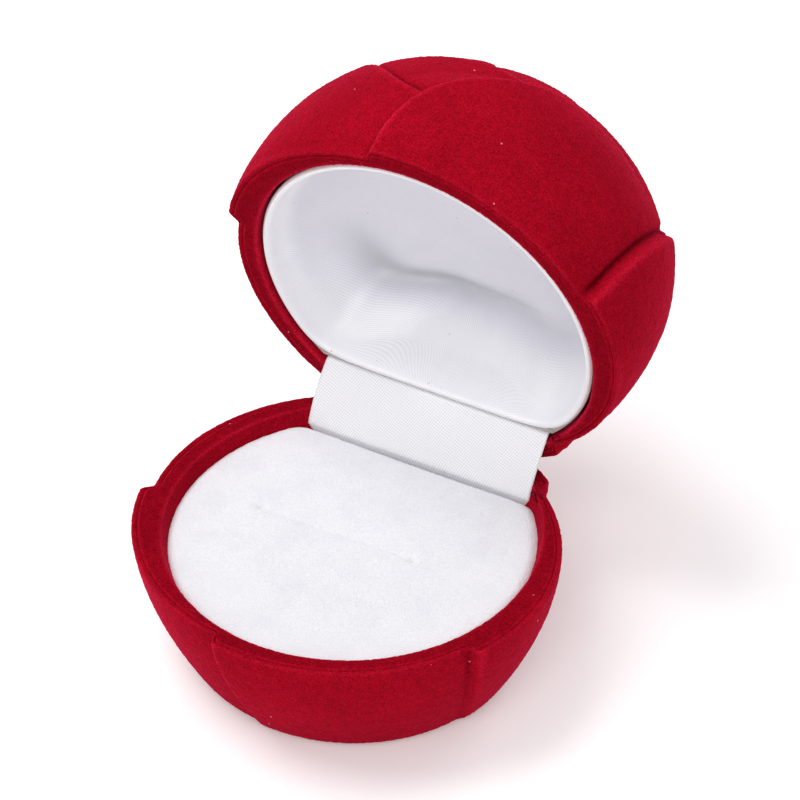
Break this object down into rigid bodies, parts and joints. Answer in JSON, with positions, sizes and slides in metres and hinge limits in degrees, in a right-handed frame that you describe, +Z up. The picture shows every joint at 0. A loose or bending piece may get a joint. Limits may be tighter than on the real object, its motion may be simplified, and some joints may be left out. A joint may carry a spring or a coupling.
{
  "type": "ring box",
  "caption": "Flocked rose-shaped ring box: petalled bowl with a slit pad, and a hinged, satin-lined rose lid that stands open or snaps shut.",
  "frame": {"origin": "centre of the foot's flat underside", "axes": "+Z up, +Y to the rear where the lid hinges, -Y to the front, +X to the right"},
  "size_m": [0.0539, 0.0737, 0.0649],
  "materials": {
    "flock_red": "moulded plastic with a short deep-red flock",
    "flock_white": "white flocked velvet",
    "satin_white": "white satin",
    "foam_white": "soft foam and wadding",
    "card_grey": "plain stiff card",
    "hinge_steel": "plated steel strip"
  },
  "bodies": {
    "base": {"base_shell": "flock_red", "pad_card": "card_grey", "pad_foam": "foam_white", "pad_velvet": "flock_white", "base_hinge_leaf": "hinge_steel", "base_hinge_rivets": "hinge_steel", "hinge_pin": "hinge_steel", "snap_spring": "hinge_steel", "hinge_ribbon": "satin_white"},
    "lid": {"lid_shell": "flock_red", "lid_card_cup": "card_grey", "lid_wadding": "foam_white", "lid_satin": "satin_white", "lid_hinge_leaf": "hinge_steel", "lid_hinge_rivets": "hinge_steel"}
  },
  "joints": [
    {"name": "lid_hinge", "type": "hinge", "parent": "base", "child": "lid", "pos_m": [0, 0.02172, 0.01733], "axis": [1, 0, 0], "range_deg": [0, 82], "deforming": ["hinge_ribbon", "snap_spring"]}
  ]
}
